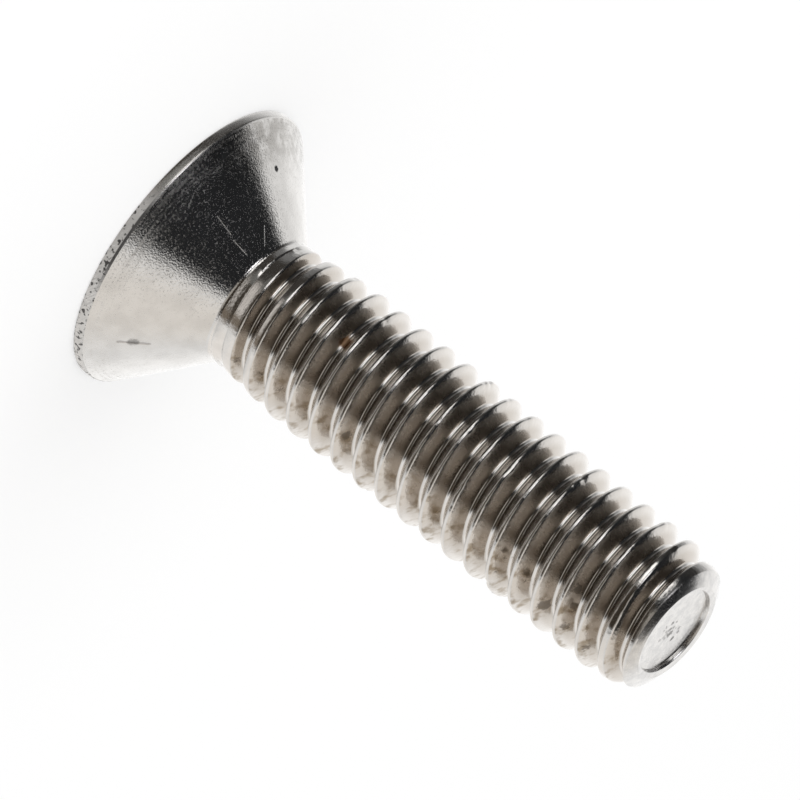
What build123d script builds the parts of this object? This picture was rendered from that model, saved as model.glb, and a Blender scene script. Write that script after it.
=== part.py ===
from build123d import *
import os
from math import ceil, cos, radians, tan

# Countersunk screw with a hexagon socket: one cold-formed piece with a rolled thread.
# Z runs along the screw, from the head's flat face at z = 0 to the end.
# Lengths are in millimetres and angles in degrees.

# ---- whole screw -------------------------------------------------------------------
overall_length = 15.70          # head face to the crown of the end's rim

# ---- head --------------------------------------------------------------------------
head_diameter = 7.65
rim_thickness = 0.24            # short cylinder round the head's edge
rim_bevel = 0.05                # broken edge between the head face and the rim
seat_angle = 90.0               # included angle of the countersunk seat

# ---- neck --------------------------------------------------------------------------
neck_diameter = 3.42            # plain shank between the seat and the thread
neck_length = 0.16
neck_fillet = 0.14              # between the seat and the neck

# ---- hexagon socket ----------------------------------------------------------------
socket_across_flats = 2.50
socket_depth = 1.80             # head face to the end of the flats
socket_floor_angle = 120.0      # included angle of the floor's cone
socket_mouth_bevel = 0.10       # how far the mouth's bevel reaches past the corners

# ---- thread, right-handed ----------------------------------------------------------
major_diameter = 3.87
pitch = 0.70
thread_angle = 60.0             # included angle of the groove
crest_width = 0.0875
thread_depth = 0.43             # crest to root
crest_runout = 2.10             # length over which the crest grows from the neck
root_runout = 0.55              # length over which the groove deepens from the neck
thread_turn = 278.7             # turn of the groove about Z where it starts
turns_per_cut = 4               # the groove is cut a few turns at a time

# ---- end ---------------------------------------------------------------------------
taper_length = 1.30             # length over which the crests fall away
shoulder_height = 0.70          # below the crown, where the taper turns steeper
shoulder_diameter = 3.68
taper_diameter = 3.25           # where the taper turns into the rim
rim_crown_diameter = 2.93       # crown of the raised rim round the cup
rim_crown_height = 0.10         # from the taper's end to the crown
rim_crown_curve = 0.18          # radius of the rim's outer edge
cup_depth = 0.16                # hollow in the end
cup_floor_diameter = 2.10       # where the cup's side turns into its floor
cup_side_depth = 0.13           # from the crown to the outside of the cup's floor

# ---- worked out from the sizes above -----------------------------------------------
head_radius = head_diameter / 2
neck_radius = neck_diameter / 2
major_radius = major_diameter / 2
root_radius = major_radius - thread_depth
shoulder_radius = shoulder_diameter / 2
taper_radius = taper_diameter / 2
rim_crown_radius = rim_crown_diameter / 2
cup_floor_radius = cup_floor_diameter / 2
socket_corner_radius = socket_across_flats / 2 / cos(radians(30))

seat_end_z = rim_thickness + (head_radius - neck_radius) / tan(radians(seat_angle / 2))
thread_start_z = seat_end_z + neck_length
taper_start_z = overall_length - taper_length
shoulder_z = overall_length - shoulder_height
taper_end_z = overall_length - rim_crown_height

flank_slope = tan(radians(thread_angle / 2))        # widening for each mm of radius
groove_mouth = pitch - crest_width                  # groove width at the crest
groove_floor = groove_mouth - 2 * thread_depth * flank_slope
groove_start_z = thread_start_z - pitch
groove_cuts = ceil((overall_length + pitch - groove_start_z) / (turns_per_cut * pitch))
cut_length = turns_per_cut * pitch


def turned(outline: Sketch) -> Part:
    """Turn a half outline, drawn with radius along X and height along Y, about Z."""
    return revolve(Plane.XZ * outline, axis=Axis.Z)


def head_and_neck() -> Part:
    """Head, seat and neck, with the cone inside the first turns that ends the groove."""
    root_cone_end_z = thread_start_z + root_runout
    with BuildSketch() as outline:
        with BuildLine():
            Polyline(
                (0, 0),
                (head_radius - rim_bevel, 0),
                (head_radius, rim_bevel),
                (head_radius, rim_thickness),
                (neck_radius, seat_end_z),
                (neck_radius, thread_start_z),
                (root_radius - crest_width / 2, root_cone_end_z),
                (0, root_cone_end_z),
                close=True,
            )
        make_face()
        seat_end = outline.vertices().sort_by_distance((neck_radius, seat_end_z))[0]
        fillet(seat_end, neck_fillet)
    return turned(outline.sketch)


def socket() -> Part:
    """Hexagon hole with a drilled floor and a bevelled mouth, opening at z = 0."""
    flat_radius = socket_across_flats / 2
    floor_height = flat_radius / tan(radians(socket_floor_angle / 2))
    mouth_radius = socket_corner_radius + socket_mouth_bevel
    hexagon = RegularPolygon(flat_radius, 6, major_radius=False)
    flats = extrude(hexagon, socket_depth)
    floor = Pos(0, 0, socket_depth) * Cone(
        flat_radius, 0, floor_height, align=(Align.CENTER, Align.CENTER, Align.MIN)
    )
    mouth = Cone(
        mouth_radius, 0, mouth_radius, align=(Align.CENTER, Align.CENTER, Align.MIN)
    )
    return flats + floor + mouth


def groove_piece(start_z: float) -> Part:
    """A few turns of the thread's groove, swept along the helix from start_z up."""
    clearance = crest_width / 4 / flank_slope       # past the crest, short of the next turn
    mouth_half = groove_mouth / 2 + clearance * flank_slope
    floor_half = groove_floor / 2
    section = Polyline(
        (major_radius + clearance, -mouth_half),
        (major_radius + clearance, mouth_half),
        (root_radius, floor_half),
        (root_radius, -floor_half),
        close=True,
    )
    path = Helix(pitch, cut_length, (root_radius + major_radius) / 2)
    swept = sweep(Plane.XZ * make_face(section), path=path, is_frenet=True)
    return Pos(0, 0, start_z) * Rot(0, 0, thread_turn) * swept


def threaded_rod() -> Part:
    """A rod of the major diameter with the groove cut all along it."""
    rod_length = groove_cuts * cut_length + 2 * pitch
    rod = Pos(0, 0, groove_start_z - pitch) * Cylinder(
        major_radius, rod_length, align=(Align.CENTER, Align.CENTER, Align.MIN)
    )
    for cut in range(groove_cuts):
        rod -= groove_piece(groove_start_z + cut * cut_length)
    return rod


def shank_envelope() -> Part:
    """What the shank keeps of the rod: low first crests, and the tapered, cupped end."""
    crest_rise = (major_radius - neck_radius) / crest_runout
    overlap = pitch / 2                             # reach into the neck
    clear_radius = major_radius + thread_depth / 2  # well outside the crests
    clear_z = thread_start_z + (clear_radius - neck_radius) / crest_rise
    with BuildSketch() as outline:
        with BuildLine():
            Polyline(
                (0, thread_start_z - overlap),
                (neck_radius - crest_rise * overlap, thread_start_z - overlap),
                (clear_radius, clear_z),
                (clear_radius, taper_start_z - pitch / 2),
                (major_radius, taper_start_z),
                (shoulder_radius, shoulder_z),
                (taper_radius, taper_end_z),
            )
            RadiusArc(
                (taper_radius, taper_end_z),
                (rim_crown_radius, overall_length),
                -rim_crown_curve,
            )
            Polyline(
                (rim_crown_radius, overall_length),
                (cup_floor_radius, overall_length - cup_side_depth),
                (0, overall_length - cup_depth),
                (0, thread_start_z - overlap),
            )
        make_face()
    return turned(outline.sketch)


screw = head_and_neck() + (threaded_rod() & shank_envelope()) - socket()

os.makedirs("parts", exist_ok=True)
export_step(screw, "parts/screw.step")
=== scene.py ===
"""A countersunk screw with a hexagon socket, standing on its head on a pale studio floor.

Z runs along the screw from the flat face of its head, which lies on the floor. The screw is worked
out in millimetres and scaled to metres when its mesh is closed.
"""

import logging
import math
import random
from collections.abc import Callable, Iterable
from dataclasses import dataclass, field
from enum import Enum
from functools import partial, reduce

import bmesh
import bpy
from mathutils import Matrix, Vector, noise


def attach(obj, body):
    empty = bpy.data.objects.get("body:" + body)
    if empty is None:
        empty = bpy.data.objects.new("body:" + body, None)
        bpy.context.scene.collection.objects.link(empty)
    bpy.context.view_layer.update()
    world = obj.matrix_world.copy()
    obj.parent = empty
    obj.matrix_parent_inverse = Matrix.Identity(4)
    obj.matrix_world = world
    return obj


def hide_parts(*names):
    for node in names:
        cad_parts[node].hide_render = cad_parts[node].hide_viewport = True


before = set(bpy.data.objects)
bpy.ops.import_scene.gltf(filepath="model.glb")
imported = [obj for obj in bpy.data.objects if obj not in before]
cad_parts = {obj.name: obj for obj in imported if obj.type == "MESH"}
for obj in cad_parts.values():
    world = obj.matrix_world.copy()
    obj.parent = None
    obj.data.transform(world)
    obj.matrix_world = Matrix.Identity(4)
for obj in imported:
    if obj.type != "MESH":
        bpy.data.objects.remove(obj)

LOG = logging.getLogger("screw_scene")
PIECE = "countersunk_screw"
CAD_NODE = "screw"
BODY = "root"
MM = 0.001
TURN = 2 * math.pi
NICK_SEED = 11
PIT_SEED = 5

Point = tuple[float, float]
Span = tuple[float, float]
Shares = tuple[float, ...]
Rows = tuple[tuple[float, float], ...]
Colour = tuple[float, float, float]
Mesh = bmesh.types.BMesh
Socket = bpy.types.NodeSocket

WHITE = (1.0, 1.0, 1.0, 1.0)
DIRT = (0.13, 0.105, 0.08)
RUST = (0.20, 0.10, 0.035)
PITTED = (0.16, 0.155, 0.15)
SCUFFED = (0.30, 0.28, 0.27)
BLACKENED = (0.05, 0.05, 0.05)


def mix(low: float, high: float, share: float) -> float:
    """Return the value a share of the way from low to high."""
    return low + (high - low) * share


def polar(angle: float, radius: float, height: float) -> Vector:
    """Return the point at an angle from +X in radians, at a radius and height."""
    return Vector((radius * math.cos(angle), radius * math.sin(angle), height))


def around(azimuth: float, radius: float, height: float) -> Vector:
    """Return the point at an azimuth from -Y towards +X in degrees, at a radius and height."""
    return polar(math.radians(azimuth - 90), radius, height)


def rounded(before: Point, corner: Point, after: Point, reach: float, share: float) -> Point:
    """Return a point on the curve that rounds a corner.

    Args:
        before: the corner's neighbour on one side.
        corner: the sharp corner.
        after: the corner's neighbour on the other side.
        reach: how far along each side the curve starts.
        share: how far along the curve the point lies, from 0 to 1.

    Returns:
        The point.
    """
    most_before, most_after = 0.98, 0.49
    point, first, last = Vector(corner), Vector(before), Vector(after)
    start = point.lerp(first, min(reach / max((first - point).length, reach), most_before))
    stop = point.lerp(last, min(reach / max((last - point).length, reach), most_after))
    curve = start.lerp(point, share).lerp(point.lerp(stop, share), share)
    return curve.x, curve.y


class Surface(Enum):
    """The screw's surfaces, each with a finish of its own."""

    THREAD = 0
    SEAT = 1
    RIM = 2
    END = 3
    SOCKET = 4


class RingBuilder:
    """Grows a shell about Z, ring after ring, from an open ring of edges."""

    level_tolerance: float = 0.001

    def __init__(self, mesh: Mesh, height: float, surface: Surface) -> None:
        """Start from the open ring that a mesh has at a height.

        Args:
            mesh: the mesh to grow.
            height: where its open ring lies.
            surface: the surface that the next faces belong to.
        """
        self.mesh = mesh
        self.surface = surface
        self.edges = [edge for edge in mesh.edges if edge.is_boundary and all(
            abs(vertex.co.z - height) < self.level_tolerance for vertex in edge.verts)]

    def grow(self, place: Callable[[float], Point]) -> None:
        """Extrude the ring once and put each new vertex where place says.

        Args:
            place: gives the radius and height for an angle about Z.
        """
        grown = bmesh.ops.extrude_edge_only(self.mesh, edges=self.edges)["geom"]
        for vertex in (item for item in grown if isinstance(item, bmesh.types.BMVert)):
            angle = math.atan2(vertex.co.y, vertex.co.x)
            vertex.co = polar(angle, *place(angle))
        for face in (item for item in grown if isinstance(item, bmesh.types.BMFace)):
            face.material_index = self.surface.value
        self.edges = [item for item in grown if isinstance(item, bmesh.types.BMEdge)
                      and item.is_boundary]

    def grow_round(self, *circles: Point) -> None:
        """Extrude the ring to one circle after another, each given by its radius and height."""
        for circle in circles:
            self.grow(lambda angle: circle)

    def close(self, height: float) -> None:
        """Close the ring with a fan that meets on the axis.

        Args:
            height: where on the axis the fan meets.
        """
        self.grow_round((MM, height))
        vertices = list({vertex for edge in self.edges for vertex in edge.verts})
        bmesh.ops.pointmerge(self.mesh, verts=vertices, merge_co=(0, 0, height))


@dataclass
class Head:
    """The countersunk head with its neck and its hexagon socket.

    Rows place the mesh's rings, as shares of the stretch that they divide.
    """

    diameter: float = 7.65
    rim_thickness: float = 0.24
    rim_bevel: float = 0.05
    seat_angle: float = 90.0
    seat_edge_round: float = 0.035
    neck_diameter: float = 3.42
    neck_fillet: float = 0.14
    fillet_steps: int = 8
    seat_rows: Shares = (0.02, 0.2, 0.4, 0.6, 0.8, 0.98, 1.0)
    edge_rows: Shares = (0.25, 0.5, 0.75, 1.0)
    bevel_rows: Shares = (0.0, 0.33, 0.67, 1.0)
    face_rows: Shares = (0.85, 0.60)
    socket_across_flats: float = 2.50
    socket_depth: float = 1.80
    socket_floor_angle: float = 120.0
    socket_mouth_bevel: float = 0.10
    socket_mouth_land: float = 0.02
    socket_wall_rows: Shares = (0.0, 0.02, 0.25, 0.5, 0.75, 0.98, 1.0)
    socket_floor_rows: Rows = ((0.98, 0.0), (0.5, 0.5))

    def __post_init__(self) -> None:
        """Work out the radii and heights that the other parts share."""
        self.radius = self.diameter / 2
        self.neck_radius = self.neck_diameter / 2
        self.slant = math.radians(self.seat_angle / 2)
        self.seat_end = (self.rim_thickness
                         + (self.radius - self.neck_radius) / math.tan(self.slant))
        self.shank_start = self.seat_end + self.neck_fillet / 2
        self.socket_flat = self.socket_across_flats / 2
        self.socket_mouth = self.socket_flat / math.cos(math.pi / 6) + self.socket_mouth_bevel

    def seat_point(self, azimuth: float, radius: float) -> Vector:
        """Return the point of the seat at an azimuth in degrees and a radius."""
        height = self.rim_thickness + (self.radius - radius) / math.tan(self.slant)
        return around(azimuth, radius, height)

    def place_wall(self, share: float, angle: float) -> Point:
        """Return a point of the socket's wall, which has a corner at each 60 degrees from +X.

        Args:
            share: how far down the wall it is, from the mouth's bevel to the floor.
            angle: its angle about Z, in radians.

        Returns:
            The point's radius and height.
        """
        radius = self.socket_flat / math.cos(angle % (math.pi / 3) - math.pi / 6)
        return radius, mix(self.socket_mouth - radius, self.socket_depth, share)

    def build(self, mesh: Mesh) -> None:
        """Grow the neck's fillet, the seat, the rim and the face with its socket.

        Args:
            mesh: the screw's mesh, open at the shank's start.
        """
        ring = RingBuilder(mesh, self.shank_start, Surface.SEAT)
        reach = self.neck_fillet * math.tan(self.slant / 2)
        for step in range(1, self.fillet_steps + 1):
            turn = self.slant * step / self.fillet_steps
            ring.grow_round((self.neck_radius + self.neck_fillet * (1 - math.cos(turn)),
                             self.seat_end + reach - self.neck_fillet * math.sin(turn)))
        top = (self.neck_radius + reach * math.sin(self.slant),
               self.seat_end - reach * math.cos(self.slant))
        foot = (self.radius - self.seat_edge_round, self.rim_thickness + self.seat_edge_round)
        for share in self.seat_rows:
            ring.grow_round((mix(top[0], foot[0], share), mix(top[1], foot[1], share)))

        ring.surface = Surface.RIM
        upper_edge, lower_edge = (self.radius, self.rim_thickness), (self.radius, 0)
        for share in self.edge_rows:
            ring.grow_round(rounded(foot, upper_edge, lower_edge, self.seat_edge_round, share))
        ring.grow_round((self.radius, self.rim_bevel * 2))
        for share in self.bevel_rows:
            ring.grow_round(rounded(upper_edge, lower_edge, (0, 0), self.rim_bevel, share))
        self.build_socket(ring)
        LOG.info("head: %.2f mm wide, socket %.2f mm across flats", self.diameter,
                 self.socket_across_flats)

    def build_socket(self, ring: RingBuilder) -> None:
        """Grow the face inwards to the socket's bevelled mouth, its flats and its floor.

        Args:
            ring: the builder, at the edge of the head's face.
        """
        ring.surface = Surface.SOCKET
        ring.grow_round(*((self.radius * share, 0) for share in self.face_rows),
                        (self.socket_mouth + self.socket_mouth_land, 0), (self.socket_mouth, 0))
        for share in self.socket_wall_rows:
            ring.grow(partial(self.place_wall, share))
        drop = self.socket_flat / math.tan(math.radians(self.socket_floor_angle / 2))
        ring.grow_round(*((self.socket_flat * share, self.socket_depth + drop * fall)
                          for share, fall in self.socket_floor_rows))
        ring.close(self.socket_depth + drop)


@dataclass
class Thread:
    """The right-handed thread, from the head's neck to the start of the end's chamfer.

    Its crest is a line of its own that climbs out of the neck, runs level and falls over the
    shoulder to the narrow land before the end. Length is the whole screw's.
    """

    head: Head
    length: float = 15.70
    major_diameter: float = 3.87
    pitch: float = 0.70
    flank_angle: float = 60.0
    crest_width: float = 0.0875
    crest_round: float = 0.042
    depth: float = 0.43
    root_round: float = 0.050
    neck_length: float = 0.16
    neck_swell: float = 0.030
    crest_height_at_x: float = 0.223
    crest_runout: float = 2.10
    runout_power: float = 1.2
    root_start: float = 2.58
    root_runout: float = 0.32
    taper_length: float = 1.30
    shoulder_height: float = 0.70
    shoulder_diameter: float = 3.68
    land_diameter: float = 3.43
    land_start: float = 0.14
    land_end: float = 0.28
    land_crown: float = 0.012
    taper_diameter: float = 3.36
    end_rise: float = 0.29
    wear_reach: float = 0.14
    wear_fade: float = 0.08
    wave_depth: float = 0.004
    wave_scales: Span = (2.3, 6.1)
    fine_wave_share: float = 0.8
    nicks: int = 60
    nick_first_turn: float = 4.0
    nick_spread: float = 0.04
    nick_reach: Span = (0.09, 0.22)
    nick_depth: Span = (0.008, 0.030)
    spokes: int = 144
    corner_steps: int = 3
    flank_steps: int = 3
    merge_share: float = 0.1
    snap_share: float = 0.25
    weld_share: float = 0.01

    def __post_init__(self) -> None:
        """Work out the radii, heights and slopes that the methods share."""
        self.neck_radius = self.head.neck_radius
        self.major_radius = self.major_diameter / 2
        self.root_radius = self.major_radius - self.depth
        self.start = self.head.seat_end + self.neck_length
        self.taper_end = self.length - self.end_rise
        shoulder = self.length - self.shoulder_height
        land = self.land_diameter / 2
        self.crest_line = (
            (self.length - self.taper_length, self.major_radius),
            (shoulder, self.shoulder_diameter / 2),
            (shoulder + self.land_start, land),
            (shoulder + self.land_end, land + self.land_crown),
            (self.taper_end, self.taper_diameter / 2),
        )
        self.nick_last_turn = (shoulder - self.crest_height_at_x) / self.pitch
        self.flank_rise = 1 / math.tan(math.radians(self.flank_angle / 2))
        self.half_stations = 2 * self.corner_steps + self.flank_steps + 2
        self.stations = 2 * self.half_stations
        self.row_height = self.pitch / self.stations

    def crest_radius(self, height: float) -> float:
        """Return how far out the thread's crest may reach.

        Args:
            height: the height along the screw.

        Returns:
            The crest's radius there.
        """
        if height < self.start:
            return self.neck_radius
        if height < self.start + self.crest_runout:
            share = (height - self.start) / self.crest_runout
            return mix(self.major_radius, self.neck_radius, (1 - share) ** self.runout_power)
        low, radius = self.crest_line[0]
        if height < low:
            return radius
        for high, next_radius in self.crest_line[1:-1]:
            if height < high:
                return mix(radius, next_radius, (height - low) / (high - low))
            low, radius = high, next_radius
        high, next_radius = self.crest_line[-1]
        return mix(radius, next_radius, (height - low) / (high - low))

    def floor_radius(self, height: float) -> float:
        """Return the radius of the groove's floor.

        Args:
            height: the height along the screw.

        Returns:
            The floor's radius there.
        """
        if height < self.root_start:
            low = self.head.shank_start
            share = (height - low) / (self.root_start - low)
            return self.neck_radius + self.neck_swell * max(share, 0.0)
        share = min((height - self.root_start) / self.root_runout, 1.0)
        return mix(self.neck_radius + self.neck_swell, self.root_radius, share)

    def sharp_radius(self, angle: float, height: float) -> float:
        """Return the radius that the thread would have with sharp corners.

        Args:
            angle: the angle about Z from +X, in radians.
            height: the height along the screw.

        Returns:
            The radius there.
        """
        rise = height - self.crest_height_at_x - self.pitch * angle / TURN
        offset = abs((rise + self.pitch / 2) % self.pitch - self.pitch / 2)
        flank = self.major_radius - (offset - self.crest_width / 2) * self.flank_rise
        return min(max(flank, self.floor_radius(height)), self.crest_radius(height))

    def station(self, index: int, crest: float, side: int) -> Point:
        """Return one point of the rounded thread outline beside a crest.

        Args:
            index: which of the outline's stations, from the crest's middle to the groove's.
            crest: height of the crest's middle.
            side: 1 for the flank above the crest and -1 for the one below.

        Returns:
            The point's radius and height.
        """
        floor = self.floor_radius(crest + side * self.pitch / 2)
        top = self.crest_radius(crest)
        slope = (self.crest_radius(crest + side * self.crest_width) - top) / self.crest_width
        reach = (self.major_radius - top + self.crest_width / 2 * self.flank_rise) / (
            self.flank_rise + slope)
        foot_offset = self.crest_width / 2 + (self.major_radius - floor) / self.flank_rise
        middle = (0.0, top)
        corner = (reach, top + slope * reach)
        foot = (max(foot_offset, reach), min(floor, corner[1]))
        end = (self.pitch / 2, foot[1])

        def crest_corner(share: float) -> Point:
            """Return a point on the rounded crest corner."""
            return rounded(middle, corner, foot, self.crest_round, share)

        def floor_corner(share: float) -> Point:
            """Return a point on the rounded corner of the groove's floor."""
            return rounded(end, foot, corner, self.root_round, 1 - share)

        if index == 0:
            offset, radius = middle
        elif index == self.half_stations:
            offset, radius = end
        elif index <= self.corner_steps + 1:
            offset, radius = crest_corner((index - 1) / self.corner_steps)
        elif index < self.half_stations - self.corner_steps - 1:
            share = (index - self.corner_steps - 1) / self.flank_steps
            high, low = crest_corner(1.0), floor_corner(0.0)
            offset, radius = mix(high[0], low[0], share), mix(high[1], low[1], share)
        else:
            offset, radius = floor_corner(
                1 - (self.half_stations - 1 - index) / self.corner_steps)
        height = crest + side * offset
        return max(radius, self.floor_radius(height)), height

    def place_nicks(self) -> list[tuple[Vector, float, float]]:
        """Scatter the nicks along the crests.

        Returns:
            The middle, reach and depth of each nick.
        """
        chance = random.Random(NICK_SEED)
        nicks = []
        for _ in range(self.nicks):
            turns = chance.uniform(self.nick_first_turn, self.nick_last_turn)
            height = (self.crest_height_at_x + self.pitch * turns
                      + chance.uniform(-self.nick_spread, self.nick_spread))
            nicks.append((polar(turns % 1 * TURN, self.major_radius, height),
                          chance.uniform(*self.nick_reach), chance.uniform(*self.nick_depth)))
        return nicks

    def wear(self, point: Vector, radius: float,
             nicks: list[tuple[Vector, float, float]]) -> float:
        """Return how far a point of the thread is worn in.

        Args:
            point: the unworn point.
            radius: its radius.
            nicks: the middle, reach and depth of each nick.

        Returns:
            The depth of the wear there, which is none away from the crests.
        """
        above = radius - self.major_radius + self.wear_reach
        share = min(max(above / self.wear_fade, 0.0), 1.0)
        if share == 0.0:
            return 0.0
        coarse, fine = (noise.noise(point * scale) for scale in self.wave_scales)
        depth = self.wave_depth * (coarse + self.fine_wave_share * fine)
        for middle, reach, deepest in nicks:
            away = (point - middle).length / reach
            if away < 1.0:
                depth += deepest * (1 - away ** 2) ** 2
        return share * depth

    def spin_rows(self, mesh: Mesh) -> None:
        """Spin rows of vertices up the shank, one turn for each pitch, as a plain tube.

        Args:
            mesh: the empty mesh to fill.
        """
        first_crest = self.crest_height_at_x
        while first_crest + 2 * self.pitch < self.head.shank_start:
            first_crest += self.pitch
        turns = math.ceil((self.taper_end - first_crest) / self.pitch) + 1
        rows = [mesh.verts.new((self.major_radius, 0, first_crest + self.row_height * row))
                for row in range(self.stations + 1)]
        outline = rows + [mesh.edges.new(pair) for pair in zip(rows, rows[1:])]
        bmesh.ops.spin(
            mesh, geom=outline, cent=(0, 0, 0), axis=(0, 0, 1), angle=TURN,
            dvec=(0, 0, self.pitch / self.spokes), steps=self.spokes, use_merge=False)
        one_turn = mesh.verts[:] + mesh.edges[:] + mesh.faces[:]
        for turn in range(1, turns):
            copied = bmesh.ops.duplicate(mesh, geom=one_turn)["geom"]
            raised = [item for item in copied if isinstance(item, bmesh.types.BMVert)]
            bmesh.ops.translate(mesh, verts=raised, vec=(0, 0, turn * self.pitch))
        bmesh.ops.remove_doubles(mesh, verts=mesh.verts, dist=self.row_height * self.merge_share)

    def build(self, mesh: Mesh) -> None:
        """Spin the shank's rows and shape them as the thread, open at both ends.

        Args:
            mesh: the empty mesh to fill.
        """
        self.spin_rows(mesh)
        nicks = self.place_nicks()
        low, high = self.head.shank_start, self.taper_end
        snap, weld = (self.row_height * share for share in (self.snap_share, self.weld_share))
        for vertex in mesh.verts:
            spoke = round(math.atan2(vertex.co.y, vertex.co.x) / TURN * self.spokes) % self.spokes
            angle = TURN * spoke / self.spokes
            lead = self.crest_height_at_x + self.pitch * spoke / self.spokes
            turn, index = divmod(round((vertex.co.z - lead) / self.row_height), self.stations)
            crest = lead + turn * self.pitch
            if index <= self.half_stations:
                radius, height = self.station(index, crest, 1)
            else:
                radius, height = self.station(self.stations - index, crest + self.pitch, -1)
            if height < low + snap:
                radius, height = self.neck_radius, low
            elif height > high - snap:
                radius, height = self.sharp_radius(angle, high), high
            else:
                radius -= self.wear(polar(angle, radius, height), radius, nicks)
            vertex.co = polar(angle, radius, height)
        bmesh.ops.remove_doubles(mesh, verts=mesh.verts, dist=weld)
        bmesh.ops.dissolve_degenerate(mesh, edges=mesh.edges, dist=weld)
        LOG.info("thread: %.2f mm wide, %.2f mm pitch", self.major_diameter, self.pitch)


@dataclass
class End:
    """The screw's end: a chamfer, a narrow rim and a shallow cup, leaning towards -Y.

    The rim and the cup are off centre towards -Y, and the thread's groove still cuts the chamfer.
    Rows place the mesh's rings: shares of a stretch or of the cup's depth, and on the land the
    step in from its edge and the drop, in millimetres.
    """

    thread: Thread
    edge_round: float = 0.040
    edge_steepness: float = 3.0
    rim_diameter: float = 2.60
    shift: float = 0.17
    lean: float = 0.049
    cup_shift: float = 0.27
    cup_mouth_diameter: float = 2.32
    cup_floor_diameter: float = 2.26
    cup_side_depth: float = 0.115
    cup_depth: float = 0.15
    edge_rows: Shares = (0.33, 0.67, 1.0)
    chamfer_rows: Shares = (0.35, 0.68, 0.94)
    land_rows: Rows = ((0.004, 0.004), (0.008, 0.0), (0.012, 0.0))
    cup_side_rows: Rows = ((1.3, 0.0), (1.0, 0.06), (0.5, 0.5), (0.06, 0.94), (-0.4, 1.0))
    cup_floor_rows: Shares = (0.8, 0.55, 0.3)

    def __post_init__(self) -> None:
        """Work out the rim's radius and how far it reaches towards +Y."""
        self.rim = self.rim_diameter / 2
        self.far = self.rim - self.shift

    def place_leaning(self, angle: float, radius: float, height: float, shift: float,
                      share: float = 1.0) -> Point:
        """Return a point of a circle that is shifted towards -Y and lowered by the lean.

        Args:
            angle: the point's angle about Z, in radians.
            radius: the circle's radius.
            height: the circle's height before it leans.
            shift: how far its middle lies towards -Y.
            share: how much of the lean it takes.

        Returns:
            The point's radius about Z and its height.
        """
        out = (math.sqrt(radius ** 2 - (shift * math.cos(angle)) ** 2)
               - shift * math.sin(angle))
        return out, height - self.lean * share * (self.far - out * math.sin(angle))

    def place_cut(self, angle: float, radius: float, height: float) -> Point:
        """Return a point of the chamfer, which the thread's groove cuts into.

        Args:
            angle: the point's angle about Z, in radians.
            radius: the radius of its circle.
            height: the circle's height before it leans.

        Returns:
            The point's radius about Z and its height.
        """
        share = (height - self.thread.taper_end) / self.thread.end_rise
        out, low = self.place_leaning(angle, radius, height, self.shift * share, share)
        return min(out, self.thread.sharp_radius(angle, low)), low

    def build(self, mesh: Mesh) -> None:
        """Grow the chamfer round the end, its narrow rim and the off-centre cup inside it.

        Args:
            mesh: the screw's mesh, open where the thread's taper ends.
        """
        base, length = self.thread.taper_end, self.thread.length
        ring = RingBuilder(mesh, base, Surface.END)
        radius = self.thread.taper_diameter / 2
        corner = (radius - self.edge_round / self.edge_steepness, base + self.edge_round)
        chamfer = [rounded((radius, base), corner, (self.rim, length), self.edge_round, share)
                   for share in self.edge_rows]
        chamfer += [(mix(corner[0], self.rim, share), mix(corner[1], length, share))
                    for share in self.chamfer_rows]
        for circle in chamfer:
            ring.grow(lambda angle: self.place_cut(angle, *circle))

        level = [(self.rim - inset, length - drop, self.shift)
                 for inset, drop in self.land_rows]
        mouth, floor = self.cup_mouth_diameter / 2, self.cup_floor_diameter / 2
        level += [(mix(floor, mouth, share), length - self.cup_side_depth * drop, self.cup_shift)
                  for share, drop in self.cup_side_rows]
        level += [(floor * share, length - mix(self.cup_depth, self.cup_side_depth, share ** 2),
                   self.cup_shift * share) for share in self.cup_floor_rows]
        for circle in level:
            ring.grow(lambda angle: self.place_leaning(angle, *circle))
        ring.close(length - self.cup_depth - self.lean * self.far)
        LOG.info("end: rim %.2f mm wide, cup %.2f mm deep", self.rim_diameter, self.cup_depth)


@dataclass
class Screw:
    """The whole screw: its head, its thread and its end in one closed mesh."""

    head: Head = field(default_factory=Head)
    sharp_angle: float = 35.0

    def build(self, materials: list[bpy.types.Material]) -> bpy.types.Object:
        """Build the screw in metres, attach it to its body and hide the CAD part that it stands
        for.

        Args:
            materials: the finishes, in the order of the surfaces.

        Returns:
            The screw's object, at the origin.
        """
        thread = Thread(self.head)
        shell = bmesh.new()
        for part in (thread, End(thread), self.head):
            part.build(shell)
        bmesh.ops.recalc_face_normals(shell, faces=shell.faces)
        bmesh.ops.scale(shell, vec=(MM, MM, MM), verts=shell.verts)
        mesh = bpy.data.meshes.new(PIECE)
        shell.to_mesh(mesh)
        LOG.info("%s: %d faces, %d open edges", PIECE, len(shell.faces),
                 sum(edge.is_boundary for edge in shell.edges))
        shell.free()
        mesh.shade_smooth()
        mesh.set_sharp_from_angle(angle=math.radians(self.sharp_angle))
        for material in materials:
            mesh.materials.append(material)
        screw = bpy.data.objects.new(PIECE, mesh)
        bpy.context.scene.collection.objects.link(screw)
        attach(screw, BODY)
        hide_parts(CAD_NODE)
        return screw


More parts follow.
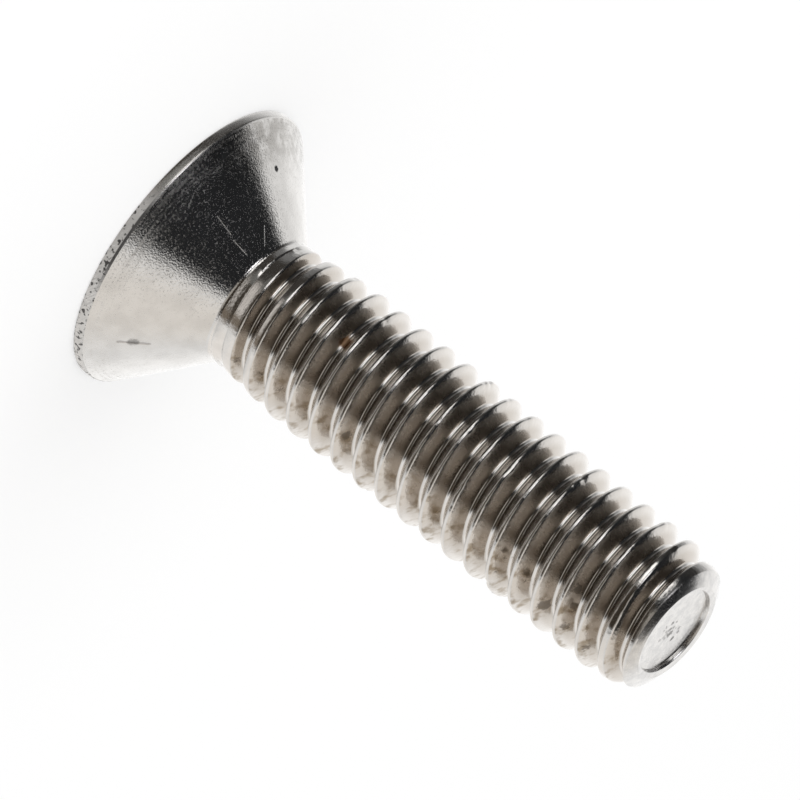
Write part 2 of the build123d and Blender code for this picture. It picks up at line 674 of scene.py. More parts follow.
@dataclass
class Viewpoint:
    """The camera: how it is turned, and the place on the screw that it looks at."""

    elevation: float = 20.4
    roll: float = 128.35
    target: Vector = field(default_factory=lambda: Vector((-0.251, 0.0, 6.664)))
    distance: float = 350.0
    pixels_per_mm: float = 42.87
    frame_pixels: float = 800.0
    sensor_width: float = 36.0
    clip_shares: Span = (0.01, 20.0)

    def build(self) -> None:
        """Make the camera and set it as the scene's."""
        data = bpy.data.cameras.new("camera")
        data.sensor_width = self.sensor_width
        data.lens = self.sensor_width * self.distance * self.pixels_per_mm / self.frame_pixels
        data.clip_start, data.clip_end = (self.distance * MM * share
                                          for share in self.clip_shares)
        camera = bpy.data.objects.new("camera", data)
        tilt = Matrix.Rotation(math.radians(90 - self.elevation), 4, "X")
        roll = Matrix.Rotation(math.radians(self.roll), 4, "Z")
        back = tilt.to_3x3() @ Vector((0, 0, 1))
        place = Matrix.Translation((self.target + back * self.distance) * MM)
        camera.matrix_world = place @ tilt @ roll
        bpy.context.scene.collection.objects.link(camera)
        bpy.context.scene.camera = camera
        LOG.info("camera: %.0f mm away, %.1f degrees up", self.distance, self.elevation)


class Wiring:
    """Lays and joins the nodes of one material, group or world."""

    def __init__(self, tree: bpy.types.NodeTree) -> None:
        """Work on a node tree."""
        self.tree = tree

    def node(self, kind: str, values: dict | None = None, **settings: object) -> bpy.types.Node:
        """Add a node.

        Args:
            kind: the node's type, without its leading ShaderNode.
            values: for each input by name or number, its constant or the socket that feeds it.
            settings: the node's own options.

        Returns:
            The new node.
        """
        node = self.tree.nodes.new("ShaderNode" + kind)
        for name, option in settings.items():
            setattr(node, name, option)
        self.feed(node, values or {})
        return node

    def feed(self, node: bpy.types.Node, values: dict) -> None:
        """Set or link the inputs of a node.

        Args:
            node: the node.
            values: for each input by name or number, its constant or the socket that feeds it.
        """
        for key, value in values.items():
            if isinstance(value, Socket):
                self.tree.links.new(value, node.inputs[key])
            else:
                node.inputs[key].default_value = value

    def maths(self, operation: str, *values: object) -> Socket:
        """Return the result of a Math node on the values."""
        return self.node("Math", dict(enumerate(values)), operation=operation).outputs[0]

    def plus(self, first: object, second: object) -> Socket:
        """Return the sum of two values."""
        return self.maths("ADD", first, second)

    def minus(self, first: object, second: object) -> Socket:
        """Return what is left of the first value without the second."""
        return self.maths("SUBTRACT", first, second)

    def times(self, *values: object) -> Socket:
        """Return the product of the values."""
        return reduce(partial(self.maths, "MULTIPLY"), values)

    def over(self, first: object, second: object) -> Socket:
        """Return the first value divided by the second."""
        return self.maths("DIVIDE", first, second)

    def ease(self, value: object, low: object, high: object) -> Socket:
        """Return a smooth 0 to 1 as the value goes from low to high."""
        return self.node("MapRange", {0: value, 1: low, 2: high},
                         interpolation_type="SMOOTHSTEP").outputs[0]

    def choose(self, share: object, first: object, second: object) -> Socket:
        """Return the value a share of the way from the first to the second."""
        return self.node("Mix", {0: share, 2: first, 3: second}).outputs[0]

    def blend(self, share: object, first: Socket | Colour, second: Socket | Colour) -> Socket:
        """Return the colour that a share of the second laid over the first gives.

        Args:
            share: how much of the second colour covers the first.
            first: the colour underneath.
            second: the colour laid over it.

        Returns:
            The blended colour.
        """
        under, over = (colour if isinstance(colour, Socket) else (*colour, 1.0)
                       for colour in (first, second))
        return self.node("Mix", {0: share, 6: under, 7: over}, data_type="RGBA").outputs[2]

    def vector(self, operation: str, *values: object) -> bpy.types.NodeOutputs:
        """Return the outputs of a Vector Math node on the values."""
        return self.node("VectorMath", dict(enumerate(values)), operation=operation).outputs

    def noise(self, place: Socket, scale: object, detail: object) -> Socket:
        """Return an even noise from 0 to 1, with so many grains to a unit and finer layers."""
        return self.node("TexNoise", {"Vector": place, "Scale": scale,
                                      "Detail": detail}).outputs[0]

    def swing(self, place: Socket, scale: object, detail: object) -> Socket:
        """Return the same noise from -0.5 to 0.5."""
        return self.minus(self.noise(place, scale, detail), 0.5)


class Group(Wiring):
    """A shader node group: an effect that is placed many times with different values."""

    def __init__(self, name: str, numbers: Iterable[str], vectors: Iterable[str],
                 result: str) -> None:
        """Start a group.

        Args:
            name: the group's name.
            numbers: the names of its inputs that are numbers.
            vectors: the names of its inputs that are vectors.
            result: the name of its one output, a number.
        """
        super().__init__(bpy.data.node_groups.new(name, "ShaderNodeTree"))
        number, vector = "NodeSocketFloat", "NodeSocketVector"
        for labels, kind in ((vectors, vector), (numbers, number)):
            for label in labels:
                self.tree.interface.new_socket(label, in_out="INPUT", socket_type=kind)
        self.tree.interface.new_socket(result, in_out="OUTPUT", socket_type=number)
        self.given = self.tree.nodes.new("NodeGroupInput").outputs
        self.result = self.tree.nodes.new("NodeGroupOutput").inputs[result]

    def finish(self, value: Socket) -> bpy.types.NodeTree:
        """Feed the group's output and return the group."""
        self.tree.links.new(value, self.result)
        return self.tree


@dataclass(frozen=True)
class Card:
    """A soft-edged panel of the studio, as polished metal mirrors it, in degrees.

    The azimuth goes about Z from -Y towards +X, and the elevation is above the floor.
    """

    left: float
    right: float
    bottom: float
    top: float
    colour: Colour
    side_blur: float = 6.0
    rise_blur: float = 6.0


@dataclass(frozen=True)
class Disc:
    """A round soft-edged panel of the studio, in the same degrees as a card."""

    azimuth: float
    elevation: float
    radius: float
    colour: Colour
    blur: float = 6.0

    def middle(self) -> Vector:
        """Return the direction of its middle."""
        rise = math.radians(self.elevation)
        return around(self.azimuth, math.cos(rise), math.sin(rise))


@dataclass(frozen=True)
class Studio:
    """The white studio: its surroundings, its floor and its soft light.

    Metal mirrors the panels, each laid over those before it. Matt surfaces see plain white.
    """

    diffuse_level: float = 0.72
    bright: Colour = (1.03, 1.03, 1.03)
    panels: tuple[Card | Disc, ...] = (
        # The bright sides and the bright back.
        Card(60, 150, 30, 130, (0.99, 0.95, 0.90), 15, 12),
        Card(70, 210, -30, 5, (1.13, 1.09, 1.05), 10, 8),
        Disc(180, 5, 36, (1.25, 1.25, 1.25), 10),
        # Grey underneath and on the left.
        Card(-200, 200, -120, -38, (0.66, 0.65, 0.64), 6, 12),
        Card(-130, -60, -24, 12, (0.40, 0.40, 0.40), 10, 8),
        # The dark front, with a softer end on the left.
        Card(-109, 56, -120, 12, (0.055, 0.050, 0.045), 9, 8),
        Card(-112, -84, -40, -20, (0.22, 0.22, 0.22), 8, 5),
        Card(-110, 56, -10, 34, (0.038, 0.037, 0.036), 9, 8),
        Card(-22, 56, -120, 38, (0.050, 0.040, 0.030), 8, 5),
        # A warm glow low on the right, which fades at its far end.
        Card(-24, 62, -48, -31, (0.80, 0.76, 0.72), 11, 5),
        Card(40, 62, -46, -24, (0.22, 0.18, 0.14), 8, 5),
        # The dark overhead.
        Disc(-52, 47, 49, (0.022, 0.023, 0.025), 5),
        Disc(-105, 66, 33, (0.022, 0.023, 0.025), 4),
        Disc(112, 77, 13, (0.030, 0.028, 0.026), 5),
        # The bright window in the front, a grey patch below it and the dark underneath.
        Card(-60, -23, -10, 10, (1.80, 1.78, 1.75), 5, 4),
        Card(-44, -16, -30, -12, (0.20, 0.20, 0.19), 6, 5),
        Card(-95, 60, -120, -47, (0.030, 0.020, 0.015), 6, 4),
        # A dim warm panel and a round lamp over the front.
        Card(-6, 54, 18, 52, (0.50, 0.47, 0.43), 8, 6),
        Disc(-42, 35, 12, (2.60, 2.60, 2.70), 4),
    )
    floor_radius: float = 90.0
    floor_sides: int = 96
    floor_colour: Colour = (0.62, 0.62, 0.62)
    floor_glow: float = 0.41
    lamp_width: float = 0.4
    lamp_power: float = 0.54
    lamp_place: Vector = field(default_factory=lambda: Vector((-0.12, -0.08, 0.38)))

    def card_mask(self) -> bpy.types.NodeTree:
        """Make the node group that says how much a card covers a direction.

        Returns:
            The group.
        """
        group = Group("card_mask", ("Azimuth", "Elevation", "Left", "Right", "Bottom", "Top",
                                    "Side Blur", "Rise Blur"), (), "Mask")

        def within(value: str, low: str, high: str, blur: str) -> Socket:
            """Work out how far a value lies between a low and a high edge.

            Args:
                value: the name of the group's input to test.
                low: the name of the low edge.
                high: the name of the high edge.
                blur: the name of half the width over which each edge fades.

            Returns:
                The share, from 0 outside to 1 well inside.
            """
            at, start, stop, soft = (group.given[name] for name in (value, low, high, blur))
            rising = group.ease(at, group.minus(start, soft), group.plus(start, soft))
            falling = group.ease(at, group.plus(stop, soft), group.minus(stop, soft))
            return group.times(rising, falling)

        return group.finish(group.times(within("Azimuth", "Left", "Right", "Side Blur"),
                                        within("Elevation", "Bottom", "Top", "Rise Blur")))

    def mirrored_colour(self, wiring: Wiring) -> Socket:
        """Lay the panels over the bright studio.

        Args:
            wiring: the world's nodes.

        Returns:
            The colour that metal mirrors from a direction.
        """
        direction = wiring.node("TexCoord").outputs["Generated"]
        way = wiring.node("SeparateXYZ", {0: direction}).outputs
        azimuth = wiring.maths("DEGREES", wiring.maths(
            "ARCTAN2", way["X"], wiring.times(way["Y"], -1.0)))
        elevation = wiring.maths("DEGREES", wiring.maths("ARCSINE", way["Z"]))
        mask_group = self.card_mask()
        colour: Socket | Colour = self.bright
        for panel in self.panels:
            if isinstance(panel, Card):
                mask = wiring.node("Group", {
                    "Azimuth": azimuth, "Elevation": elevation, "Left": panel.left,
                    "Right": panel.right, "Bottom": panel.bottom, "Top": panel.top,
                    "Side Blur": panel.side_blur, "Rise Blur": panel.rise_blur,
                }, node_tree=mask_group).outputs["Mask"]
            else:
                nearness = wiring.vector("DOT_PRODUCT", direction, panel.middle())["Value"]
                away = wiring.maths("DEGREES", wiring.maths("ARCCOSINE", nearness))
                mask = wiring.ease(away, panel.radius + panel.blur, panel.radius - panel.blur)
            colour = wiring.blend(mask, colour, panel.colour)
        return colour

    def build_world(self) -> None:
        """Make the surroundings: white to the camera, plain to matt surfaces, toned to metal."""
        world = bpy.data.worlds.new("studio")
        bpy.context.scene.world = world
        world.use_nodes = True
        world.cycles.sampling_method = "NONE"
        world.node_tree.nodes.clear()
        wiring = Wiring(world.node_tree)
        toned = self.mirrored_colour(wiring)
        path = wiring.node("LightPath").outputs
        matt = wiring.node("Background", {"Strength": self.diffuse_level, "Color": WHITE})
        mirrored = wiring.node("Background", {"Color": toned})
        white = wiring.node("Background", {"Color": WHITE})
        lit = wiring.node("MixShader", {0: path["Is Glossy Ray"], 1: matt.outputs[0],
                                        2: mirrored.outputs[0]})
        seen = wiring.node("MixShader", {0: path["Is Camera Ray"], 1: lit.outputs[0],
                                         2: white.outputs[0]})
        wiring.node("OutputWorld", {"Surface": seen.outputs[0]})
        LOG.info("surroundings: plain white studio")

    def floor_material(self) -> bpy.types.Material:
        """Make the white floor's material, which metal looks through.

        Returns:
            The material.
        """
        material = bpy.data.materials.new("studio_floor")
        material.use_nodes = True
        material.node_tree.nodes.clear()
        wiring = Wiring(material.node_tree)
        surface = wiring.node("BsdfDiffuse", {"Color": (*self.floor_colour, 1.0)})
        glow = wiring.node("Emission", {"Strength": self.floor_glow})
        bright = wiring.node("AddShader", {0: surface.outputs[0], 1: glow.outputs[0]})
        clear = wiring.node("BsdfTransparent")
        path = wiring.node("LightPath").outputs
        seen = wiring.node("MixShader", {0: path["Is Glossy Ray"], 1: bright.outputs[0],
                                         2: clear.outputs[0]})
        wiring.node("OutputMaterial", {"Surface": seen.outputs[0]})
        return material

    def build_floor(self) -> None:
        """Lay the round floor under the head's face."""
        shell = bmesh.new()
        bmesh.ops.create_circle(shell, cap_ends=True, segments=self.floor_sides,
                                radius=self.floor_radius * MM)
        mesh = bpy.data.meshes.new("floor")
        shell.to_mesh(mesh)
        shell.free()
        mesh.materials.append(self.floor_material())
        floor = bpy.data.objects.new("floor", mesh)
        bpy.context.scene.collection.objects.link(floor)
        LOG.info("floor: %.0f mm round", self.floor_radius * 2)

    def build_light(self) -> None:
        """Hang one wide soft light over the screw."""
        data = bpy.data.lights.new("soft_light", "AREA")
        data.shape = "DISK"
        data.size = self.lamp_width
        data.energy = self.lamp_power
        light = bpy.data.objects.new("soft_light", data)
        light.location = self.lamp_place
        light.rotation_euler = self.lamp_place.to_track_quat("Z", "Y").to_euler()
        light.visible_glossy = False
        bpy.context.scene.collection.objects.link(light)
        LOG.info("light: %.1f m wide", self.lamp_width)

    def build(self) -> None:
        """Build the surroundings, the floor and the light."""
        self.build_world()
        self.build_floor()
        self.build_light()


@dataclass(frozen=True)
class Stain:
    """A ragged spot of dirt, rust or pitting, in millimetres."""

    place: Vector
    radius: float
    colour: Colour
    strength: float = 0.9
    raggedness: float = 1.0


@dataclass(frozen=True)
class Scratch:
    """A fine straight scratch, in millimetres."""

    start: Vector
    end: Vector
    width: float = 0.018
    colour: Colour = (0.80, 0.79, 0.77)
    strength: float = 0.25


@dataclass
class SteelEffects:
    """The node groups that the steel's finishes share, each built once."""

    turning_detail: float = 1.0
    spot_grains: float = 1.6
    spot_detail: float = 3.0
    spot_edge: Span = (1.0, 0.55)
    scratch_grains: float = 9.0
    scratch_detail: float = 2.0
    scratch_least: float = 0.2
    scratch_core: float = 0.3

    def __post_init__(self) -> None:
        """Build the groups."""
        self.grain = self.build_grain()
        self.turning = self.build_turning()
        self.spot = self.build_spot()
        self.scratch = self.build_scratch()

    def build_grain(self) -> bpy.types.NodeTree:
        """Make the group for an even grain of a given size, from -0.5 to 0.5.

        Returns:
            The group.
        """
        group = Group("steel_grain", ("Size", "Detail"), ("Position",), "Grain")
        position, size, detail = (group.given[name] for name in ("Position", "Size", "Detail"))
        return group.finish(group.swing(position, group.over(1.0, size), detail))

    def build_turning(self) -> bpy.types.NodeTree:
        """Make the group for the fine lines that turning leaves, from -0.5 to 0.5.

        Returns:
            The group.
        """
        group = Group("turning_lines", ("Spacing", "Sway"), ("Position",), "Lines")
        place = group.node("SeparateXYZ", {0: group.given["Position"]}).outputs
        flat = group.node("CombineXYZ", {0: place["X"], 1: place["Y"]}).outputs[0]
        radius = group.vector("LENGTH", flat)["Value"]
        way = group.node("SeparateXYZ", {0: group.vector("NORMALIZE", flat)[0]}).outputs
        track = group.node("CombineXYZ", {
            0: group.over(group.minus(place["Z"], radius), group.given["Spacing"]),
            1: group.times(way["X"], group.given["Sway"]),
            2: group.times(way["Y"], group.given["Sway"])}).outputs[0]
        return group.finish(group.swing(track, 1.0, self.turning_detail))

    def build_spot(self) -> bpy.types.NodeTree:
        """Make the group for a ragged spot about a centre.

        Returns:
            The group.
        """
        group = Group("ragged_spot", ("Radius", "Raggedness"), ("Position", "Centre"), "Mask")
        away = group.vector("DISTANCE", group.given["Position"], group.given["Centre"])["Value"]
        grain = group.swing(group.given["Position"],
                            group.over(self.spot_grains, group.given["Radius"]),
                            self.spot_detail)
        reach = group.plus(group.over(away, group.given["Radius"]),
                           group.times(grain, group.given["Raggedness"]))
        return group.finish(group.ease(reach, *self.spot_edge))

    def build_scratch(self) -> bpy.types.NodeTree:
        """Make the group for a fine broken line between two points.

        Returns:
            The group.
        """
        group = Group("fine_scratch", ("Width",), ("Position", "Start", "End"), "Mask")
        start, end = group.given["Start"], group.given["End"]
        line = group.vector("SUBTRACT", end, start)[0]
        lead = group.vector("SUBTRACT", group.given["Position"], start)[0]
        along = group.vector("DOT_PRODUCT", lead, line)["Value"]
        whole = group.vector("DOT_PRODUCT", line, line)["Value"]
        share = group.node("Math", {0: along, 1: whole}, operation="DIVIDE",
                           use_clamp=True).outputs[0]
        nearest = group.node("VectorMath", {0: line, "Scale": share}, operation="SCALE").outputs[0]
        away = group.vector("DISTANCE", lead, nearest)["Value"]
        breaks = group.noise(group.given["Position"], self.scratch_grains, self.scratch_detail)
        width = group.times(group.given["Width"], group.plus(breaks, self.scratch_least))
        return group.finish(group.ease(away, width, group.times(width, self.scratch_core)))


class SteelWiring(Wiring):
    """Lays the nodes of one steel material, which all read the same point."""

    def __init__(self, tree: bpy.types.NodeTree, effects: SteelEffects) -> None:
        """Read the point that is being shaded.

        Args:
            tree: the material's node tree.
            effects: the shared node groups.
        """
        super().__init__(tree)
        self.effects = effects
        source = self.node("TexCoord").outputs
        self.position = self.node("VectorMath", {0: source["Object"], "Scale": 1 / MM},
                                  operation="SCALE").outputs[0]
        self.place = self.node("SeparateXYZ", {0: self.position}).outputs
        self.normal = source["Normal"]

    def effect(self, group: bpy.types.NodeTree, **values: object) -> Socket:
        """Return what an effect's node group gives at the point, with its other inputs set."""
        return self.node("Group", {"Position": self.position, **values},
                         node_tree=group).outputs[0]

    def grain(self, size: float, detail: float) -> Socket:
        """Return an even grain from -0.5 to 0.5, of a size in millimetres."""
        return self.effect(self.effects.grain, Size=size, Detail=detail)

    def lines(self, spacing: float, sway: float) -> Socket:
        """Return turning lines from -0.5 to 0.5, at a spacing in millimetres."""
        return self.effect(self.effects.turning, Spacing=spacing, Sway=sway)


@dataclass(frozen=True)
class Patches:
    """Ragged patches of a size in millimetres, between two values of a grain."""

    size: float
    detail: float
    span: Span

    def mask(self, steel: SteelWiring) -> Socket:
        """Return how much the point is in a patch."""
        return steel.ease(steel.grain(self.size, self.detail), *self.span)


@dataclass(frozen=True)
class SteelFinish:
    """The finish of one surface of the stainless steel, in millimetres.

    A span holds the two coordinates between which something sets in.
    """

    name: str
    colour: Colour = (0.66, 0.645, 0.625)
    cloudy: Colour = (0.60, 0.585, 0.565)
    clouds: Patches = Patches(0.5, 4.0, (-0.15, 0.15))
    roughness: float = 0.12
    roughness_spread: float = 0.06
    gloss_patches_per_cloud: float = 3.0
    gloss_detail: float = 3.0
    speckle_roughness: float = 0.0
    speckles: Patches = Patches(0.055, 1.0, (-0.02, 0.26))
    grain_size: float = 0.035
    grain_detail: float = 1.5
    grain_height: float = 0.0030
    line_spacing: float = 0.05
    line_height: float = 0.0010
    line_sway: float = 2.0
    scratch_depth: float = 0.004
    scratch_roughness: float = 0.35
    stain_roughness: float = 0.4
    stains: tuple[Stain, ...] = ()
    scratches: tuple[Scratch, ...] = ()

    def tone(self, steel: SteelWiring) -> Socket:
        """Return the steel's own colour, a little clouded."""
        return steel.blend(self.clouds.mask(steel), self.colour, self.cloudy)

    def gloss(self, steel: SteelWiring) -> Socket:
        """Work out the roughness, which varies in patches and may be speckled.

        Args:
            steel: the material's wiring.

        Returns:
            The roughness.
        """
        patch = steel.grain(self.clouds.size / self.gloss_patches_per_cloud, self.gloss_detail)
        level = steel.plus(steel.times(patch, self.roughness_spread * 2), self.roughness)
        if not self.speckle_roughness:
            return level
        return steel.plus(level, steel.times(self.speckles.mask(steel),
                                             self.speckle_roughness))

    def relief(self, steel: SteelWiring) -> Socket:
        """Work out the height of the grain and the turning lines, in metres.

        Args:
            steel: the material's wiring.

        Returns:
            The height.
        """
        grain = steel.grain(self.grain_size, self.grain_detail)
        lines = steel.lines(self.line_spacing, self.line_sway)
        return steel.plus(steel.times(grain, self.grain_height * MM),
                          steel.times(lines, self.line_height * MM))

    def metal(self, steel: SteelWiring) -> Socket | float:
        """Return how metallic the surface is: wholly, unless a finish says otherwise."""
        return 1.0

    def build(self, effects: SteelEffects) -> bpy.types.Material:
        """Build the finish's material, with its scratches and stains on top.

        Args:
            effects: the shared node groups.

        Returns:
            The material.
        """
        material = bpy.data.materials.new(self.name)
        material.use_nodes = True
        steel = SteelWiring(material.node_tree, effects)
        colour, roughness = self.tone(steel), self.gloss(steel)
        height = self.relief(steel)
        for scratch in self.scratches:
            mask = steel.effect(effects.scratch, Start=scratch.start, End=scratch.end,
                                Width=scratch.width)
            share = steel.times(mask, scratch.strength)
            colour = steel.blend(share, colour, scratch.colour)
            roughness = steel.plus(roughness, steel.times(share, self.scratch_roughness))
            height = steel.minus(height, steel.times(mask, self.scratch_depth * MM))
        for stain in self.stains:
            mask = steel.effect(effects.spot, Centre=stain.place, Radius=stain.radius,
                                Raggedness=stain.raggedness)
            share = steel.times(mask, stain.strength)
            colour = steel.blend(share, colour, stain.colour)
            roughness = steel.plus(roughness, steel.times(share, self.stain_roughness))
        bump = steel.node("Bump", {"Height": height, "Distance": 1.0, "Strength": 1.0})
        steel.feed(material.node_tree.nodes["Principled BSDF"], {
            "Base Color": colour, "Metallic": self.metal(steel), "Roughness": roughness,
            "Normal": bump.outputs[0]})
        LOG.info("finish: %s", self.name)
        return material


@dataclass(frozen=True)
class ThreadFinish(SteelFinish):
    """The thread's finish: scuffed crests, painted shade on the flanks and a polished groove
    floor.
    """

    # Painted shade: the flanks' colour is darkened, more so deep in the groove, for the shade
    # between the turns.
    shaded_flank: Colour = (0.63, 0.60, 0.565)
    deep_groove_shade: Colour = (0.51, 0.47, 0.425)
    deep_span: Span = (1.86, 1.66)
    flank_tilt: Span = (0.35, 0.75)
    head_facing: Span = (-0.2, -0.5)
    crest_span: Span = (1.64, 1.68)
    crest_roughness: float = 0.15
    crest_grain_size: float = 0.09
    crest_grain_detail: float = 3.0
    crest_grain_height: float = 0.0045
    root_roughness: float = 0.08
    upper_flank_roughness: float = 0.14
    lower_flank_roughness: float = 0.28
    grime: Colour = (0.30, 0.25, 0.19)
    grime_patches: Patches = Patches(0.32, 4.0, (-0.02, 0.22))
    grime_side: Span = (0.5, 1.3)

    def out(self, steel: SteelWiring) -> Socket:
        """Return how far the point is from the axis."""
        flat = steel.node("CombineXYZ", {0: steel.place["X"], 1: steel.place["Y"]}).outputs[0]
        return steel.vector("LENGTH", flat)["Value"]

    def facing(self, steel: SteelWiring) -> Socket:
        """Return how far the surface faces along the screw, from -1 to 1."""
        return steel.node("SeparateXYZ", {0: steel.normal}).outputs["Z"]

    def flank(self, steel: SteelWiring) -> Socket:
        """Return how much the point is on a flank."""
        return steel.ease(steel.maths("ABSOLUTE", self.facing(steel)), *self.flank_tilt)

    def crest(self, steel: SteelWiring) -> Socket:
        """Return how much the point is out of the groove's floor."""
        return steel.ease(self.out(steel), *self.crest_span)

    def tone(self, steel: SteelWiring) -> Socket:
        """Work out the steel's colour, with painted shade and some grime on the flanks.

        Args:
            steel: the material's wiring.

        Returns:
            The colour.
        """
        # Painted shade on the flanks, darker deeper in the groove.
        deep = steel.ease(self.out(steel), *self.deep_span)
        shaded_flank = steel.blend(deep, self.shaded_flank, self.deep_groove_shade)
        dirty = steel.times(self.grime_patches.mask(steel),
                            steel.ease(steel.place["X"], *self.grime_side))
        shaded_flank = steel.blend(dirty, shaded_flank, self.grime)
        return steel.blend(self.flank(steel), super().tone(steel), shaded_flank)

    def gloss(self, steel: SteelWiring) -> Socket:
        """Work out the roughness of the crests, the flanks and the groove's floor.

        Args:
            steel: the material's wiring.

        Returns:
            The roughness.
        """
        patches = steel.minus(super().gloss(steel), self.roughness)
        level = steel.choose(self.crest(steel), self.root_roughness, self.crest_roughness)
        lower = steel.ease(self.facing(steel), *self.head_facing)
        on_flank = steel.choose(lower, self.upper_flank_roughness, self.lower_flank_roughness)
        return steel.plus(steel.choose(self.flank(steel), level, on_flank), patches)

    def relief(self, steel: SteelWiring) -> Socket:
        """Work out the height of the grain, coarser on the crests, in metres.

        Args:
            steel: the material's wiring.

        Returns:
            The height.
        """
        scuff = steel.times(steel.grain(self.crest_grain_size, self.crest_grain_detail),
                            self.crest(steel), self.crest_grain_height * MM)
        return steel.plus(super().relief(steel), scuff)


@dataclass(frozen=True)
class SeatFinish(SteelFinish):
    """The seat's finish: finely speckled, brushed and partly worn duller next to the rim."""

    brushed_roughness: float = 0.16
    brushed_height: Span = (1.0, 0.4)
    brushed_spacing: float = 0.10
    brushed_span: Span = (-0.2, 0.2)
    worn: Colour = (0.40, 0.385, 0.365)
    worn_patches: Patches = Patches(0.3, 5.0, (-0.2, 0.1))
    worn_height: Span = (1.4, 0.6)
    worn_side: Span = (-1.0, -2.4)

    def tone(self, steel: SteelWiring) -> Socket:
        """Work out the steel's colour, duller in patches next to the rim on one side.

        Args:
            steel: the material's wiring.

        Returns:
            The colour.
        """
        edge = steel.times(steel.ease(steel.place["Z"], *self.worn_height),
                           steel.ease(steel.place["X"], *self.worn_side),
                           self.worn_patches.mask(steel))
        return steel.blend(edge, super().tone(steel), self.worn)

    def gloss(self, steel: SteelWiring) -> Socket:
        """Work out the roughness, higher along brushed lines next to the rim.

        Args:
            steel: the material's wiring.

        Returns:
            The roughness.
        """
        lines = steel.lines(self.brushed_spacing, self.line_sway)
        edge = steel.times(steel.ease(steel.place["Z"], *self.brushed_height),
                           steel.ease(lines, *self.brushed_span), self.brushed_roughness)
        return steel.plus(super().gloss(steel), edge)


@dataclass(frozen=True)
class RimFinish(SteelFinish):
    """The rim's finish: rough on one side, with slanting marks, gouges and painted shade along the
    seat's edge.
    """

    rough_span: Span = (-0.9, 0.1)
    added_roughness: float = 0.22
    matt_share: float = 0.55
    hatch_spacing: float = 0.07
    hatch_height: float = 0.030
    hatch_slant: float = 1.1
    hatch_across: float = 1.5
    hatch_down: float = 3.0
    hatch_detail: float = 2.0
    # One dark colour serves the gouges and the painted shade line in the corner at the seat's
    # edge.
    gouge_and_edge_shade: Colour = (0.08, 0.077, 0.075)
    gouges: Patches = Patches(0.11, 3.0, (0.03, 0.12))
    edge_shade_height: Span = (0.200, 0.228)
    edge_shade_side: Span = (2.4, 1.3)

    def rough(self, steel: SteelWiring) -> Socket:
        """Return how much the point is on the rim's rough side."""
        return steel.ease(steel.place["X"], *self.rough_span)

    def tone(self, steel: SteelWiring) -> Socket:
        """Work out the steel's colour, with dark gouges and a painted shade line at the seat's
        edge.

        Args:
            steel: the material's wiring.

        Returns:
            The colour.
        """
        # The line is painted shade: a dark band in the corner where the rim meets the seat.
        line = steel.times(steel.ease(steel.place["Z"], *self.edge_shade_height),
                           steel.ease(steel.place["X"], *self.edge_shade_side))
        marks = steel.times(steel.maths("MAXIMUM", line, self.gouges.mask(steel)),
                            self.rough(steel))
        return steel.blend(marks, super().tone(steel), self.gouge_and_edge_shade)

    def gloss(self, steel: SteelWiring) -> Socket:
        """Return the roughness, higher on the rough side."""
        return steel.plus(super().gloss(steel),
                          steel.times(self.rough(steel), self.added_roughness))

    def relief(self, steel: SteelWiring) -> Socket:
        """Work out the height of the grain and the slanting marks, in metres.

        Args:
            steel: the material's wiring.

        Returns:
            The height.
        """
        place = steel.place
        slant = steel.plus(place["X"], steel.times(place["Z"], self.hatch_slant))
        track = steel.node("CombineXYZ", {
            0: steel.over(slant, self.hatch_spacing),
            1: steel.times(place["Y"], self.hatch_across),
            2: steel.times(place["Z"], self.hatch_down)}).outputs[0]
        marks = steel.times(steel.noise(track, 1.0, self.hatch_detail), self.rough(steel),
                            self.hatch_height * MM)
        return steel.plus(super().relief(steel), marks)

    def metal(self, steel: SteelWiring) -> Socket:
        """Return how metallic the rim is, less on the rough side."""
        return steel.minus(1.0, steel.times(self.rough(steel), self.matt_share))


def thread_stains() -> tuple[Stain, ...]:
    """Return the rust and the ragged dirt on the thread.

    Returns:
        The stains.
    """
    dirt_radius, dirt_strength, raggedness = 1.70, 0.65, 2.0
    dirt = (
        (57.7, 3.280, 0.17), (49.7, 4.620, 0.13), (62.4, 4.130, 0.10), (44.0, 6.632, 0.16),
        (41.8, 11.700, 0.20), (59.2, 11.379, 0.16), (47.3, 12.429, 0.20), (56.3, 12.949, 0.22),
        (21.4, 13.610, 0.16), (41.8, 13.841, 0.20), (59.2, 13.594, 0.16), (64.2, 14.242, 0.18),
    )
    return (Stain(around(-20.0, 1.511, 5.240), 0.20, RUST),
            *(Stain(around(azimuth, dirt_radius, height), size, DIRT, dirt_strength, raggedness)
              for azimuth, height, size in dirt))


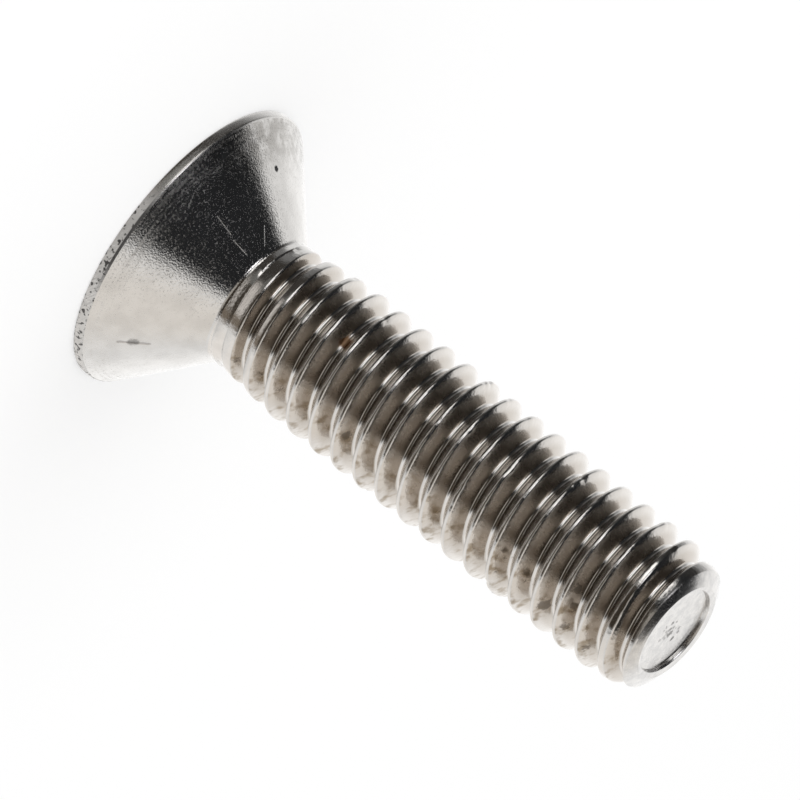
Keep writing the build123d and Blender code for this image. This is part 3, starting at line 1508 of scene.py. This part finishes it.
def scattered_pits() -> tuple[Stain, ...]:
    """Return the small pits that lie together in the middle of the end's cup.

    Returns:
        The stains that colour them.
    """
    chance = random.Random(PIT_SEED)
    pits, cup_height = 24, 15.50
    return tuple(Stain(Vector((chance.gauss(0.06, 0.15), chance.gauss(-0.17, 0.16), cup_height)),
                       chance.uniform(0.045, 0.080), PITTED, chance.uniform(0.25, 0.55))
                 for _ in range(pits))


def steel_finishes(head: Head) -> dict[Surface, SteelFinish]:
    """Work out the finish of each of the screw's surfaces.

    Args:
        head: the head, which says where its seat lies.

    Returns:
        The finishes.
    """
    seat = head.seat_point
    return {
        Surface.THREAD: ThreadFinish("thread_steel", grain_height=0.0008, stains=thread_stains()),
        Surface.SEAT: SeatFinish(
            "seat_steel", grain_size=0.045, grain_height=0.0050,
            speckle_roughness=0.22, stains=(
                Stain(seat(-66.0, 2.957), 0.10, BLACKENED, 1.0),
                Stain(seat(59.8, 2.959), 0.17, PITTED, 0.6),
            ), scratches=(
                Scratch(seat(-20.1, 2.806), seat(-20.1, 2.401)),
                Scratch(seat(-19.2, 2.305), seat(-20.5, 1.959)),
                Scratch(seat(-43.3, 2.157), seat(-36.5, 1.861)),
                Scratch(seat(59.4, 3.208), seat(61.1, 2.685), 0.09, SCUFFED, 0.6),
            )),
        Surface.RIM: RimFinish("rim_steel", roughness=0.25, roughness_spread=0.1,
                               grain_height=0.002),
        Surface.END: SteelFinish("end_steel", cloudy=(0.57, 0.56, 0.55),
                                 clouds=Patches(0.25, 4.0, (-0.15, 0.15)), roughness=0.24,
                                 roughness_spread=0.1, grain_height=0.0015,
                                 stains=scattered_pits()),
        Surface.SOCKET: SteelFinish("socket_steel", roughness=0.2, line_height=0.0012),
    }


def main() -> None:
    """Build everything in order."""
    logging.basicConfig(level=logging.INFO, format="%(message)s")
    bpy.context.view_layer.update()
    bpy.context.scene.view_settings.view_transform = "Standard"
    screw = Screw()
    effects, finishes = SteelEffects(), steel_finishes(screw.head)
    screw.build([finishes[surface].build(effects) for surface in Surface])
    Viewpoint().build()
    Studio().build()


if __name__ == "__main__":
    main()
